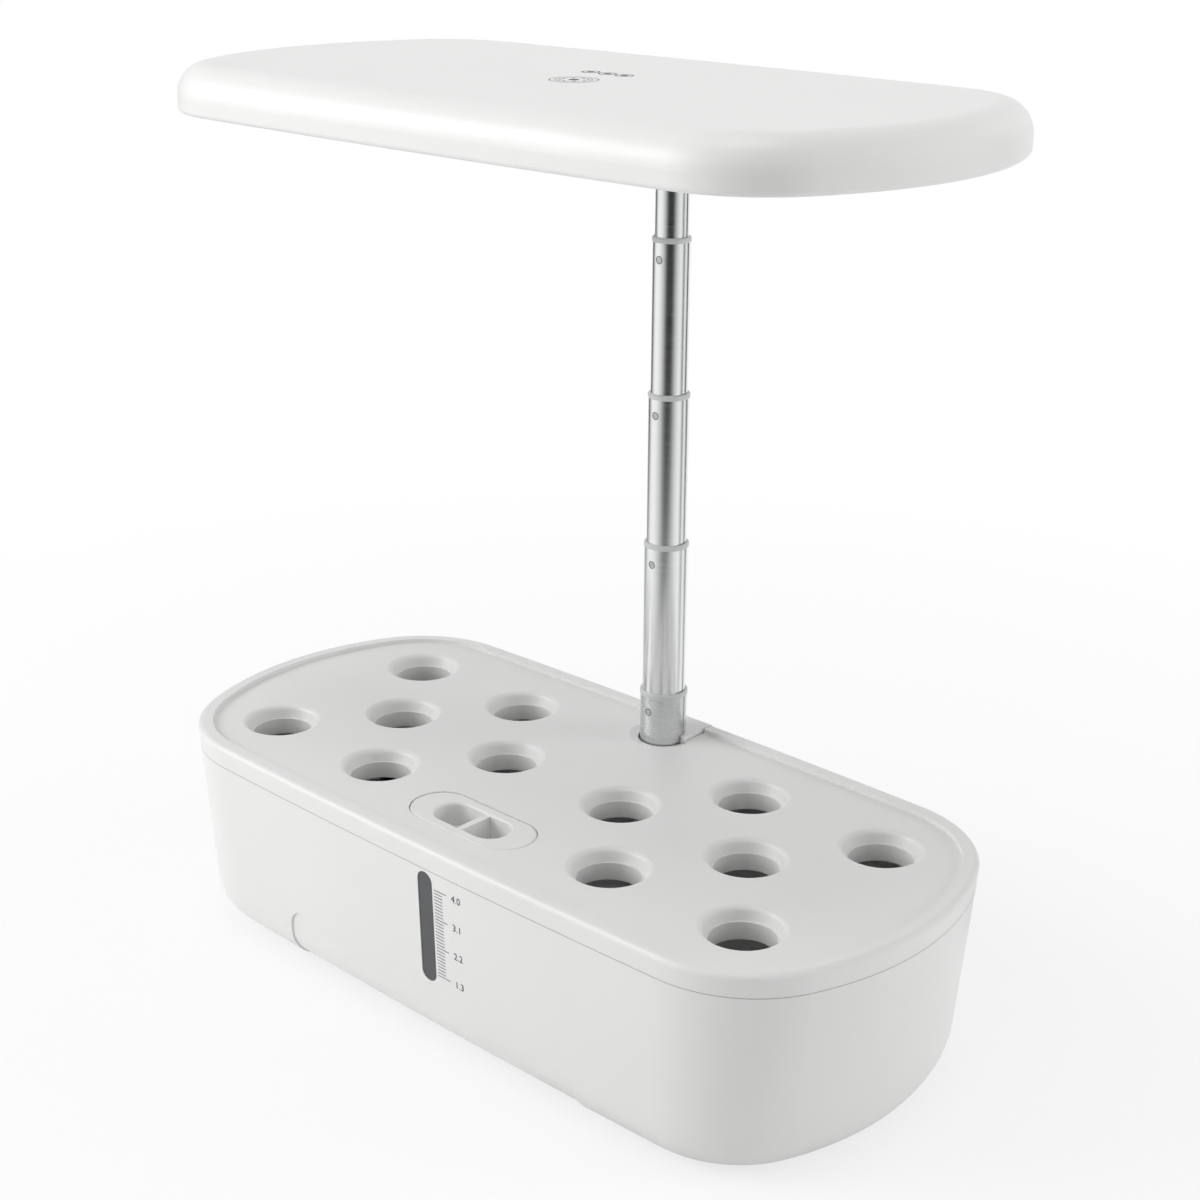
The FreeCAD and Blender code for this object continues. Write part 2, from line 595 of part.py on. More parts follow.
def make_cap():
    """Fill cap: a plate with a finger pocket below it and a web to pinch."""
    cap_y = -size("cap_front")
    low = DECK - size("pocket_depth") - size("pocket_wall")
    plate = stadium_solid(size("cap_length"), size("cap_width"), DECK - size("cap_plate"), DECK, 0, cap_y)
    wall = size("pocket_wall")
    cup = stadium_solid(size("pocket_length") + 2 * wall, size("pocket_width") + 2 * wall, low, DECK - 1, 0, cap_y)
    pocket = stadium_solid(size("pocket_length"), size("pocket_width"), low + wall, DECK + 1, 0, cap_y)
    body = plate.fuse(cup).cut(pocket)
    mouth = [edge for edge in edges_at(body, DECK) if edge.BoundBox.YLength < size("pocket_width") + 1]
    body = body.makeFillet(size("pocket_edge"), mouth)
    web_top = DECK - size("web_drop")
    web = Part.makeBox(size("web_width"), size("pocket_width"), web_top - low - 0.5,
                       V(-size("web_width") / 2, cap_y - size("pocket_width") / 2, low + 0.5))
    return body.fuse(web).removeSplitter()


def make_window():
    """Clear level window: a slot-shaped lens with a flange behind the tank wall."""
    offset, level = size("window_offset"), size("window_level")
    outer = base_form(0, UNDER, RIM)
    behind = base_form(WALL, UNDER + size("tank_floor"), RIM)
    thick = size("window_flange")
    inside = base_form(WALL + thick, UNDER + size("tank_floor") + thick, RIM)
    front, back = -size("base_width"), -size("base_width") / 3
    lens = upright_stadium(size("window_width"), size("window_height"), front, back, offset, level)
    lap = size("window_lip")
    flange = upright_stadium(size("window_width") + 2 * lap, size("window_height") + 2 * lap,
                             front, back, offset, level)
    face = base_form(size("window_sunk"), UNDER + size("window_sunk"), RIM)
    lens = lens.common(face).cut(behind)
    flange = flange.common(behind).cut(inside)
    top = Part.makeBox(60, size("base_width"), 20, V(offset - 30, front, SEAM - size("lip_depth") - 1))
    return lens.fuse(flange.cut(top)).removeSplitter()


def make_feet():
    """Four rubber pads in the seats under the tank."""
    pads = []
    for spot in corner_places(size("foot_spread"), size("foot_reach")):
        pad = Part.makeCylinder(size("foot_radius"), size("foot_depth"), V(spot.x, spot.y, 0))
        pads.append(pad.makeFillet(size("foot_edge"), edges_at(pad, 0)))
    return Part.Compound(pads)


formed("tank", make_tank())
formed("grow_deck", make_deck())
formed("pole_trim", make_trim())
formed("fill_cap", make_cap())
formed("level_window", make_window())
formed("rubber_feet", make_feet())

# Telescopic pole. Stage numbers count from the lowest tube.
RISES = ("rise_first", "rise_second", "rise_third", "rise_fourth")


def stage_radius(stage):
    """Outer radius of a tube, as an expression."""
    return f"(tube_radius - {stage - 1} * tube_step)"


def stage_top(stage):
    """Top of a stage's collar, as an expression."""
    return "(deck_height + " + " + ".join(RISES[:stage]) + ")"


def stage_bottom(stage):
    """Lower end of a tube, as an expression."""
    if stage == 1:
        return "tube_bottom"
    return f"({stage_top(stage - 1)} - collar_rise - collar_lip - stop_gap - slider_rise)"


def tube_end(stage):
    """Upper end of a tube, as an expression."""
    if stage == 5:
        return "(deck_height + lamp_rise + head_reach)"
    return f"({stage_top(stage)} - collar_rise)"


def make_tube(stage):
    """Drawn tube with a shallow key groove along its +X side."""
    name = f"pole_tube_{stage}"
    radius, low, high = stage_radius(stage), stage_bottom(stage), tube_end(stage)
    length = f"{high} - {low}"
    barrel = cylinder(f"{name}_barrel", radius, length, y="pole_back", z=low)
    bore = cylinder(f"{name}_bore", f"{radius} - tube_wall", length, y="pole_back", z=low)
    rough = cylinder(f"{name}_rough", f"{radius} + 1", length, y="pole_back", z=low)
    root = cylinder(f"{name}_root", f"{radius} - key_depth", length, y="pole_back", z=low)
    ring = cut(f"{name}_ring", rough, root)
    strip = box(f"{name}_strip", f"2 * {radius}", f"{radius} * key_share", length,
                x=radius, y="pole_back", z=low)
    groove = doc.addObject("Part::Common", f"{name}_groove")
    groove.Base = ring
    groove.Tool = strip
    tools = [bore, groove]
    if stage < 5:
        tools.append(pin_solid(f"{name}_pin_hole", stage, "tube_wall"))
    keep(name, cut(name, barrel, *tools))


def pin_solid(name, stage, length):
    """Cylinder that lies along Y in the front of a tube's wall."""
    radius = stage_radius(stage)
    return cylinder(name, "pin_radius", length, y=f"pole_back - {radius} + tube_wall",
                    z=f"{stage_top(stage)} - pin_drop", turn=(V(1, 0, 0), 90))


def make_collar(stage):
    """Ring on top of a tube with a lip inside it that guides the next tube."""
    name = f"pole_collar_{stage}"
    radius = stage_radius(stage)
    guide = f"({stage_radius(stage + 1)} + slide_gap)"
    lip = f"({radius} - tube_wall)"
    profile = (
        (guide, "0 - collar_lip"),
        (lip, "0 - collar_lip"),
        (lip, "0"),
        (f"{radius} + collar_proud", "0"),
        (f"{radius} + collar_proud", "collar_rise * 0.75"),
        (f"{radius} + collar_proud - collar_rise * 0.25", "collar_rise"),
        (guide, "collar_rise"),
    )
    keep(name, turned(name, profile, y="pole_back", z=tube_end(stage)))


def make_slider(stage):
    """Thin sleeve round a tube's lower end that runs in the tube below."""
    name = f"pole_slider_{stage}"
    outer = f"{stage_radius(stage - 1)} - tube_wall - slide_gap"
    low = stage_bottom(stage)
    sleeve = cylinder(f"{name}_sleeve", outer, "slider_rise", y="pole_back", z=low)
    core = cylinder(f"{name}_core", stage_radius(stage), "slider_rise", y="pole_back", z=low)
    keep(name, cut(name, sleeve, core))


for stage in range(1, 6):
    make_tube(stage)
for stage in range(1, 5):
    make_collar(stage)
    keep(f"pole_pin_{stage}", pin_solid(f"pole_pin_{stage}", stage, "tube_wall - pin_sunk"))
for stage in range(2, 6):
    make_slider(stage)

# Plug and screw that hold the lowest tube in the tank's column
foot_plug = cylinder("plug_body", "tube_radius - tube_wall", "plug_rise", y="pole_back", z="tube_bottom")
plug_way = cylinder("plug_way", "plug_thread", "plug_rise", y="pole_back", z="tube_bottom")
keep("pole_foot_plug", cut("pole_foot_plug", foot_plug, plug_way))
screw_shank = cylinder("screw_shank", "plug_thread", "tube_bottom + plug_rise * 0.8 - foot_rise - 2.5",
                       y="pole_back", z="foot_rise + 2.5")
screw_cap = cylinder("screw_cap", "screw_head", "screw_head_rise",
                     y="pole_back", z="foot_rise + 2.5 - screw_head_rise")
keep("pole_foot_screw", fuse("pole_foot_screw", screw_shank, screw_cap))

# Power inlet in the back of the pole block: a barrel socket with a centre pin
BACK_FACE = size("base_width") / 2 - size("side_taper") * (RIM - size("inlet_height")) / (RIM - UNDER)


def make_inlet():
    """Round socket that faces backwards, with a flange on the tank's rear wall."""
    level, depth = size("inlet_height"), size("inlet_depth")
    back = V(0, 1, 0)
    front_end = BACK_FACE - depth
    barrel = Part.makeCylinder(size("inlet_outer"), depth, V(0, front_end, level), back)
    flange = Part.makeCylinder(size("inlet_flange"), size("inlet_flange_thick") + SUNK,
                               V(0, BACK_FACE - SUNK, level), back)
    flange = flange.cut(base_form(0, UNDER, RIM))
    socket = Part.makeCylinder(size("inlet_bore"), 2 * depth, V(0, front_end + 1, level), back)
    pin = Part.makeCylinder(size("inlet_pin"), depth - 2, V(0, front_end + 0.5, level), back)
    return barrel.fuse(flange).cut(socket).fuse(pin).removeSplitter()


formed("power_inlet", make_inlet())

# Lamp. Heights are counted from its underside.
LAMP = size("deck_height") + size("lamp_rise")


def lamp_outline(inset, level):
    """Outline of the lamp, offset inwards."""
    return outline(size("lamp_length"), size("lamp_width"), size("lamp_corner"),
                   size("lamp_end_bulge"), size("lamp_side_bulge"), inset, level, size("lamp_back"))


def lamp_slice(low, high, inset):
    """Upright solid with the lamp's outline."""
    face = Part.Face(lamp_outline(inset, LAMP + low))
    return face.extrude(V(0, 0, high - low))


def lamp_boss_places():
    """Middles of the eight screw bosses that join the lamp's covers."""
    half_length = size("lamp_length") / 2 - size("boss_end")
    half_width = size("lamp_width") / 2 - size("boss_side")
    back, spread = size("lamp_back"), size("boss_spread")
    places = [V(x * half_length, back + y * spread, 0) for x in (-1, 1) for y in (-1, 1)]
    places += [V(x * size("lamp_length") / 5, back + y * half_width, 0) for x in (-1, 1) for y in (-1, 1)]
    return places


def board_boss_places():
    """Middles of the bosses that carry the light board."""
    span = size("glow_length") / 2 - size("board_boss_in")
    return [V(x * span, -size("glow_front") + y * size("board_boss_row"), 0)
            for x in (-1, -0.4, 0.4, 1) for y in (-1, 1)]


def touch_places():
    """Middles of the posts that carry the touch board."""
    half_length = size("touch_length") / 2 - size("touch_post_in")
    half_width = size("touch_width") / 2 - size("touch_post_in")
    return [V(x * half_length, size("lamp_back") + y * half_width, 0)
            for x in (-1, 1) for y in (-1, 1)]


def make_top_cover():
    """Lamp top cover: softly rounded shell with screw bosses inside."""
    thick, wall, roof = size("lamp_thick"), size("lamp_wall"), size("lamp_thick") - size("lamp_roof")
    outer = lamp_slice(0, thick, 0)
    outer = outer.makeFillet(size("lamp_edge"), edges_at(outer, LAMP + thick))
    outer = outer.makeFillet(size("lamp_under_edge"), edges_at(outer, LAMP))
    inner = lamp_slice(0, roof, wall)
    inner = inner.makeFillet(size("lamp_edge") - wall, edges_at(inner, LAMP + roof))
    shell = outer.cut(inner)
    cover_top = size("under_recess") + size("under_plate")
    board_top = size("board_level") + size("board_thick")
    touch_top = roof - size("touch_drop")
    radius = size("boss_radius")
    for spots, low in ((lamp_boss_places(), cover_top), (board_boss_places(), board_top),
                       (touch_places(), touch_top)):
        for spot in spots:
            boss = Part.makeCylinder(radius, thick - size("boss_roof") - low, V(spot.x, spot.y, LAMP + low))
            shell = shell.fuse(boss.common(outer))
    for spot in lamp_boss_places():
        hole = Part.makeCylinder(size("boss_bore"), 8, V(spot.x, spot.y, LAMP + cover_top - PAST))
        shell = shell.cut(hole)
    return shell.removeSplitter()


def make_lower_cover():
    """Lamp lower cover: plate with the light window, the pole head's hole and screw holes."""
    low, high = size("under_recess"), size("under_recess") + size("under_plate")
    plate = lamp_slice(low, high, size("lamp_wall") + size("cover_gap"))
    window = rounded_plate(size("glow_length"), size("glow_width"), size("glow_corner"),
                           LAMP + low - 1, LAMP + high + 1, 0, -size("glow_front"))
    plate = plate.cut(window)
    head = Part.makeCylinder(size("head_neck") + size("cover_gap"), 10, V(0, POLE_Y, LAMP + low - PAST))
    plate = plate.cut(head)
    for spot in lamp_boss_places():
        hole = Part.makeCylinder(size("lamp_screw"), 10, V(spot.x, spot.y, LAMP + low - PAST))
        sink = Part.makeCylinder(size("lamp_screw_sink"), PAST + 1, V(spot.x, spot.y, LAMP + low - PAST))
        plate = plate.cut(hole).cut(sink)
    for spot in head_screw_places():
        plate = plate.cut(Part.makeCylinder(size("clamp_screw"), 10, V(spot.x, spot.y, LAMP + low - PAST)))
    return plate.removeSplitter()


def head_screw_places():
    """Middles of the four screws that hold the pole head to the lower cover."""
    reach = (size("head_neck") + size("head_flange")) / 2
    return [V(reach * math.cos(math.radians(angle)), POLE_Y + reach * math.sin(math.radians(angle)), 0)
            for angle in (45, 135, 225, 315)]


def screw(spot, low, head_radius, head_height, shank_radius, length, upward):
    """Pan-head screw: a low domed head and a plain shank."""
    way = 1 if upward else -1
    head = Part.makeCylinder(head_radius, head_height, V(spot.x, spot.y, low), V(0, 0, way))
    shank = Part.makeCylinder(shank_radius, length, V(spot.x, spot.y, low + way * (head_height - 0.1)),
                              V(0, 0, way))
    return head.fuse(shank)


def make_lamp_screws():
    """Screws through the lower cover into the top cover's bosses."""
    low = LAMP + size("under_recess") - 0.4
    screws = [screw(spot, low, size("pan_head"), size("pan_rise"), size("boss_bore"), 7, True)
              for spot in lamp_boss_places()]
    return Part.Compound(screws)


def make_head_screws():
    """Screws through the head's flange into the lower cover."""
    rise = size("pan_rise")
    high = LAMP + size("under_recess") + size("under_plate") + size("clamp_plate") + rise
    screws = [screw(spot, high, size("clamp_head"), rise, size("clamp_screw"), 4.2, False)
              for spot in head_screw_places()]
    return Part.Compound(screws)


def make_leds():
    """Rows of diodes under the light board."""
    columns, rows = int(size("led_columns")), int(size("led_rows"))
    side, thick = size("led_size"), size("led_thick")
    span_x, span_y = size("glow_length") - 34, size("glow_width") - 22
    level = LAMP + size("board_level") - thick
    diodes = []
    for column in range(columns):
        for row in range(rows):
            x = span_x * (column / (columns - 1) - 0.5)
            y = span_y * (row / (rows - 1) - 0.5) - size("glow_front")
            diodes.append(Part.makeBox(side, side, thick, V(x - side / 2, y - side / 2, level)))
    return Part.Compound(diodes)


formed("lamp_top_cover", make_top_cover())
formed("lamp_lower_cover", make_lower_cover())
formed("lamp_screws", make_lamp_screws())
formed("head_screws", make_head_screws())
formed("leds", make_leds())
lens_low = LAMP + size("under_recess") + size("under_plate")
formed("led_lens", rounded_plate(
    size("glow_length") + 2 * size("lens_lap"), size("glow_width") + 2 * size("lens_lap"),
    size("glow_corner") + size("lens_lap"), lens_low, lens_low + size("lens_thick"), 0, -size("glow_front")))
board_low = LAMP + size("board_level")
formed("led_board", rounded_plate(
    size("glow_length") - 4, size("glow_width") - 4, 4, board_low, board_low + size("board_thick"),
    0, -size("glow_front")))
touch_high = LAMP + size("lamp_thick") - size("lamp_roof") - size("touch_drop")
formed("touch_board", rounded_plate(
    size("touch_length"), size("touch_width"), 3, touch_high - size("board_thick"), touch_high,
    0, size("lamp_back")))

# Pole head: a cone under the lamp, a neck through its lower cover and a flange inside
HEAD_PROFILE = (
    ("tube_radius - 4 * tube_step", "0 - head_drop"),
    ("head_neck", "0 - head_drop"),
    ("head_radius", "0 - 1"),
    ("head_radius", "under_recess"),
    ("head_neck", "under_recess"),
    ("head_neck", "under_recess + under_plate"),
    ("tube_radius - 4 * tube_step", "under_recess + under_plate"),
)
keep("pole_head", turned("pole_head", HEAD_PROFILE, y="pole_back", z="deck_height + lamp_rise"))
FLANGE_PROFILE = (
    ("tube_radius - 4 * tube_step", "0"),
    ("head_flange", "0"),
    ("head_flange", "clamp_plate"),
    ("head_neck", "clamp_plate"),
    ("head_neck", "head_reach - under_recess - under_plate"),
    ("tube_radius - 4 * tube_step", "head_reach - under_recess - under_plate"),
)


def make_head_clamp():
    """Flanged sleeve inside the lamp that grips the top tube."""
    sleeve = turned("head_clamp_sleeve", FLANGE_PROFILE, y="pole_back",
                    z="deck_height + lamp_rise + under_recess + under_plate")
    ways = []
    for number in range(4):
        angle = math.radians(45 + 90 * number)
        reach = "(head_neck + head_flange) / 2"
        ways.append(cylinder(f"head_clamp_way_{number + 1}", "clamp_screw", "20",
                             x=f"{reach} * {math.cos(angle):.6f}",
                             y=f"pole_back + {reach} * {math.sin(angle):.6f}",
                             z="deck_height + lamp_rise"))
    keep("head_clamp", cut("head_clamp", sleeve, *ways))


make_head_clamp()

# Circulation pump on the tank's floor. Its shaft lies along Y and its intake faces forward.
PUMP_X = -size("pump_left")
PUMP_Y = size("pump_back")
PUMP_LOW = UNDER + size("tank_floor")
PUMP_FRONT = PUMP_Y - size("pump_depth") / 2
SHAFT_Z = PUMP_LOW + size("pump_foot") + size("pump_height") / 2
BACKWARD = V(0, 1, 0)


def pump_round(radius, start, length):
    """Cylinder about the pump's shaft, from a distance behind the pump's front."""
    return Part.makeCylinder(radius, length, V(PUMP_X, PUMP_FRONT + start, SHAFT_Z), BACKWARD)


def make_pump_body():
    """Pump body with its impeller chamber, rotor well and outlet port."""
    low = PUMP_LOW + size("pump_foot")
    body = rounded_plate(size("pump_length"), size("pump_depth"), 5, low, low + size("pump_height"),
                         PUMP_X, PUMP_Y)
    chamber = pump_round(size("chamber_radius"), -1, size("chamber_depth") + 1)
    well_end = size("chamber_depth") + size("rotor_length") + size("rotor_gap")
    well = pump_round(size("rotor_radius") + size("rotor_gap"), 0, well_end)
    seat = pump_round(size("shaft_radius"), 0, well_end + 2)
    port_y = PUMP_FRONT + size("chamber_depth") / 2
    port = Part.makeCylinder(size("outlet_bore"), size("pump_height"), V(PUMP_X, port_y, SHAFT_Z))
    return body.cut(chamber).cut(well).cut(seat).cut(port)


def make_pump_grille():
    """Slotted intake cover over the impeller chamber."""
    thick = size("grille_thick")
    plate = Part.makeBox(size("pump_length") - 4, thick, size("pump_height") - 4,
                         V(PUMP_X - size("pump_length") / 2 + 2, PUMP_FRONT - thick,
                           PUMP_LOW + size("pump_foot") + 2))
    for step in range(-3, 4):
        if step == 0:
            continue
        slot = Part.makeBox(2, thick + 2, size("pump_height") - 16,
                            V(PUMP_X + step * 4 - 1, PUMP_FRONT - thick - 1, PUMP_LOW + size("pump_foot") + 8))
        plate = plate.cut(slot)
    return plate


def make_impeller():
    """Rotor magnet with a hub and six straight blades."""
    front = 1.0
    blade_back = front + size("blade_height")
    magnet = pump_round(size("rotor_radius"), blade_back, size("rotor_length"))
    plate = pump_round(size("rotor_radius"), blade_back - 0.5, 1)
    hub = pump_round(3, front, size("blade_height"))
    rotor = magnet.fuse(plate).fuse(hub)
    thick = size("blade_thick")
    for number in range(6):
        blade = Part.makeBox(size("blade_radius") - 1, size("blade_height"), thick,
                             V(PUMP_X + 1, PUMP_FRONT + front, SHAFT_Z - thick / 2))
        blade.rotate(V(PUMP_X, 0, SHAFT_Z), BACKWARD, 60 * number)
        rotor = rotor.fuse(blade)
    bore = pump_round(size("shaft_radius") + size("slide_gap"), -5, 60)
    return rotor.cut(bore).removeSplitter()


def make_pump_feet():
    """Four suction feet under the pump."""
    feet = []
    for spot in corner_places(size("pump_length") / 2 - 8, size("pump_depth") / 2 - 8):
        foot = Part.makeCone(6, 3.5, size("pump_foot"), V(PUMP_X + spot.x, PUMP_Y + spot.y, PUMP_LOW))
        feet.append(foot)
    return Part.Compound(feet)


def make_outlet():
    """Upright outlet nozzle on top of the pump."""
    low = PUMP_LOW + size("pump_foot") + size("pump_height")
    place_at = V(PUMP_X, PUMP_FRONT + size("chamber_depth") / 2, low)
    nozzle = Part.makeCylinder(size("outlet_radius"), size("outlet_rise"), place_at)
    return nozzle.cut(Part.makeCylinder(size("outlet_bore"), size("outlet_rise"), place_at))


formed("pump_body", make_pump_body())
formed("pump_grille", make_pump_grille())
formed("pump_impeller", make_impeller())
shaft_length = size("chamber_depth") + size("rotor_length") + size("rotor_gap") + 2
formed("pump_shaft", pump_round(size("shaft_radius"), 0, shaft_length))
formed("pump_feet", make_pump_feet())
formed("pump_outlet", make_outlet())

# Move every sub-part so that the origin lies under the middle of the whole garden
lamp_back_edge = size("lamp_back") + size("lamp_width") / 2
shift = (max(lamp_back_edge, size("base_width") / 2) - size("base_width") / 2) / 2
doc.recompute()
for name, feature in PARTS.items():
    moved = FreeCAD.Placement(feature.Placement)
    moved.Base = moved.Base - V(0, shift, 0)
    feature.setExpression("Placement.Base.y", None)
    feature.Placement = moved
doc.recompute()

faults = [item.Name for item in doc.Objects if "Invalid" in item.State or "Error" in item.State]
for name, feature in PARTS.items():
    if feature.Shape.isNull() or not feature.Shape.isValid() or not feature.Shape.Solids:
        faults.append(name)
if faults:
    raise RuntimeError("these did not build: " + ", ".join(faults))

os.makedirs("parts", exist_ok=True)
for name, feature in PARTS.items():
    feature.Shape.exportStep(os.path.join("parts", f"{name}.step"))
print(f"{len(PARTS)} sub-parts written, frame shift {shift:.2f} mm")
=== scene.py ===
import math

import bpy
import numpy as np
from mathutils import Matrix, Vector


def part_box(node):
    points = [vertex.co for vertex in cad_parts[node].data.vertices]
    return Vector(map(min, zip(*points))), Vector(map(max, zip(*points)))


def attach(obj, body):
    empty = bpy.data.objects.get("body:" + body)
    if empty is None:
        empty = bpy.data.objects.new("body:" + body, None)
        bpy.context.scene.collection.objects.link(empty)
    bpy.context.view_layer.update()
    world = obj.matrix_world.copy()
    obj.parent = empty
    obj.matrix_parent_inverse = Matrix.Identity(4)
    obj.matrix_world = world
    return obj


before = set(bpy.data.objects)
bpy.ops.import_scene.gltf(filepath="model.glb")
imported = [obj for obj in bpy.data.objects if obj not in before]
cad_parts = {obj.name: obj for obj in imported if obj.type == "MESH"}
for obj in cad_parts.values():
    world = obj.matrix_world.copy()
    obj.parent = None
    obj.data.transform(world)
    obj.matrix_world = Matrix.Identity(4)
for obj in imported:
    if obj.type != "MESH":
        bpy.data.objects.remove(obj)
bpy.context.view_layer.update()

MM = 0.001

# Places read from the frame, in metres
DECK_LOW, DECK_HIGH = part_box("grow_deck")
LAMP_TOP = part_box("lamp_top_cover")[1]
WINDOW_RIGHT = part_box("level_window")[1].x
RIM_TOP = DECK_HIGH.z
BASE_Y = (DECK_LOW.y + DECK_HIGH.y) / 2
POLE_Y = BASE_Y + 68.3 * MM


def linear(code):
    """sRGB hex value as linear RGBA."""
    parts = [int(code[i:i + 2], 16) / 255 for i in (1, 3, 5)]
    return tuple(p / 12.92 if p <= 0.04045 else ((p + 0.055) / 1.055) ** 2.4 for p in parts) + (1.0,)


def add_node(tree, kind, inputs=None, **settings):
    """Add a node. Settings name its properties or sockets; inputs, by name or number, take a
    link or a value."""
    node = tree.nodes.new(kind)
    for name, value in settings.items():
        found = [item for item in node.inputs if item.name.lower() == name.replace("_", " ")]
        if found:
            found[0].default_value = value
        else:
            setattr(node, name, value)
    for key, source in (inputs or {}).items():
        if isinstance(source, bpy.types.NodeSocket):
            tree.links.new(source, node.inputs[key])
        else:
            node.inputs[key].default_value = source
    return node


def new_material(name):
    """Empty node material with its output, and its tree."""
    material = bpy.data.materials.new(name)
    material.use_nodes = True
    material.node_tree.nodes.clear()
    return material, material.node_tree


def finish_material(tree, shader):
    """Join a shader to the material's output."""
    add_node(tree, "ShaderNodeOutputMaterial", {"Surface": shader.outputs[0]})


# Numbers of the Mix node's colour sockets: its two inputs and its output
MIX_LOW, MIX_HIGH, MIX_RESULT = 6, 7, 2


def moulded_plastic(name, low, high, roughness, grain_mm, grain_height_mm, ior=1.53):
    """Injection-moulded plastic: a fine spark-eroded grain breaks up a soft sheen, and the
    colour drifts by a shade over a hand's width where the melt flowed."""
    material, tree = new_material(name)
    place = add_node(tree, "ShaderNodeTexCoord").outputs["Object"]
    drift = add_node(tree, "ShaderNodeTexNoise", {"Vector": place}, scale=1 / (60 * MM), detail=2.0)
    colour = add_node(tree, "ShaderNodeMix", {0: drift.outputs["Fac"], MIX_LOW: linear(low),
                                              MIX_HIGH: linear(high)}, data_type="RGBA")
    grain = add_node(tree, "ShaderNodeTexNoise", {"Vector": place}, scale=1 / (grain_mm * MM), detail=3.0)
    bump = add_node(tree, "ShaderNodeBump", {"Height": grain.outputs["Fac"]},
                    strength=0.5, distance=grain_height_mm * MM)
    rough = add_node(tree, "ShaderNodeMapRange", {"Value": grain.outputs["Fac"]},
                     to_min=roughness - 0.05, to_max=roughness + 0.05)
    shader = add_node(tree, "ShaderNodeBsdfPrincipled",
                      {"Base Color": colour.outputs[MIX_RESULT], "Roughness": rough.outputs["Result"],
                       "Normal": bump.outputs["Normal"]}, ior=ior)
    finish_material(tree, shader)
    return material


def brushed_aluminium(name, low, high, roughness):
    """Drawn aluminium tube, brushed round its girth: fine rings a third of a millimetre
    apart, drawn coarse enough to show, spread each highlight along the tube."""
    material, tree = new_material(name)
    place = add_node(tree, "ShaderNodeTexCoord").outputs["Object"]
    rings = add_node(tree, "ShaderNodeMapping", {"Vector": place}, scale=(12.0, 12.0, 1 / (0.35 * MM)))
    brushing = add_node(tree, "ShaderNodeTexNoise", {"Vector": rings.outputs["Vector"]},
                        scale=1.0, detail=4.0)
    colour = add_node(tree, "ShaderNodeMix", {0: brushing.outputs["Fac"], MIX_LOW: linear(low),
                                              MIX_HIGH: linear(high)}, data_type="RGBA")
    bump = add_node(tree, "ShaderNodeBump", {"Height": brushing.outputs["Fac"]},
                    strength=0.2, distance=0.01 * MM)
    rough = add_node(tree, "ShaderNodeMapRange", {"Value": brushing.outputs["Fac"]},
                     to_min=roughness - 0.08, to_max=roughness + 0.08)
    shader = add_node(tree, "ShaderNodeBsdfPrincipled",
                      {"Base Color": colour.outputs[MIX_RESULT], "Roughness": rough.outputs["Result"],
                       "Normal": bump.outputs["Normal"]}, metallic=1.0)
    finish_material(tree, shader)
    return material


def plated_steel(name, low, high, roughness):
    """Zinc-plated screw steel: bright and slightly cloudy."""
    material, tree = new_material(name)
    place = add_node(tree, "ShaderNodeTexCoord").outputs["Object"]
    cloud = add_node(tree, "ShaderNodeTexNoise", {"Vector": place}, scale=1 / (2 * MM), detail=3.0)
    colour = add_node(tree, "ShaderNodeMix", {0: cloud.outputs["Fac"], MIX_LOW: linear(low),
                                              MIX_HIGH: linear(high)}, data_type="RGBA")
    rough = add_node(tree, "ShaderNodeMapRange", {"Value": cloud.outputs["Fac"]},
                     to_min=roughness - 0.06, to_max=roughness + 0.1)
    shader = add_node(tree, "ShaderNodeBsdfPrincipled",
                      {"Base Color": colour.outputs[MIX_RESULT],
                       "Roughness": rough.outputs["Result"]}, metallic=1.0)
    finish_material(tree, shader)
    return material


def clear_acrylic(name, tint, roughness):
    """Clear acrylic sheet with a faint haze."""
    material, tree = new_material(name)
    place = add_node(tree, "ShaderNodeTexCoord").outputs["Object"]
    haze = add_node(tree, "ShaderNodeTexNoise", {"Vector": place}, scale=1 / (8 * MM), detail=2.0)
    rough = add_node(tree, "ShaderNodeMapRange", {"Value": haze.outputs["Fac"]},
                     to_min=roughness, to_max=roughness + 0.06)
    shader = add_node(tree, "ShaderNodeBsdfPrincipled", {"Roughness": rough.outputs["Result"]},
                      base_color=linear(tint), ior=1.49, transmission_weight=0.9)
    finish_material(tree, shader)
    return material


# Soft even white of the tank and deck, dull enough that no lamp shows in it
WHITE_ABS = moulded_plastic("moulded_white_abs", "#E4E4E3", "#E9E9E8", 0.42, 0.45, 0.03)
# A shade lighter and smoother, so the lamp's rounded edge carries a soft highlight
LAMP_ABS = moulded_plastic("satin_white_abs", "#E7E7E6", "#ECECEB", 0.40, 0.40, 0.02)
# Dark level window with a clean gloss against the dull wall
SMOKED_LENS = moulded_plastic("smoked_polycarbonate", "#434547", "#494B4D", 0.25, 3.0, 0.01, 1.58)
# Feet: matt mid grey
SOFT_RUBBER = moulded_plastic("grey_silicone_rubber", "#6C6C6B", "#767675", 0.75, 0.5, 0.05, 1.41)
# Collars, sleeves and clamps: slightly greyer and slicker than the housing
ACETAL = moulded_plastic("light_grey_acetal", "#C6C7C8", "#CFD0D1", 0.45, 0.4, 0.02, 1.48)
# Inlet and pump: near black with a fine grain
BLACK_ABS = moulded_plastic("black_moulded_abs", "#1B1B1C", "#242425", 0.45, 0.5, 0.04)
# Touch board: glossy dark green
SOLDER_MASK = moulded_plastic("green_solder_mask", "#14492B", "#1A5633", 0.35, 1.5, 0.02, 1.5)
# Light board: the bright field behind the diodes
WHITE_MASK = moulded_plastic("white_solder_mask", "#E6E6E2", "#EFEFEC", 0.4, 1.5, 0.02, 1.5)
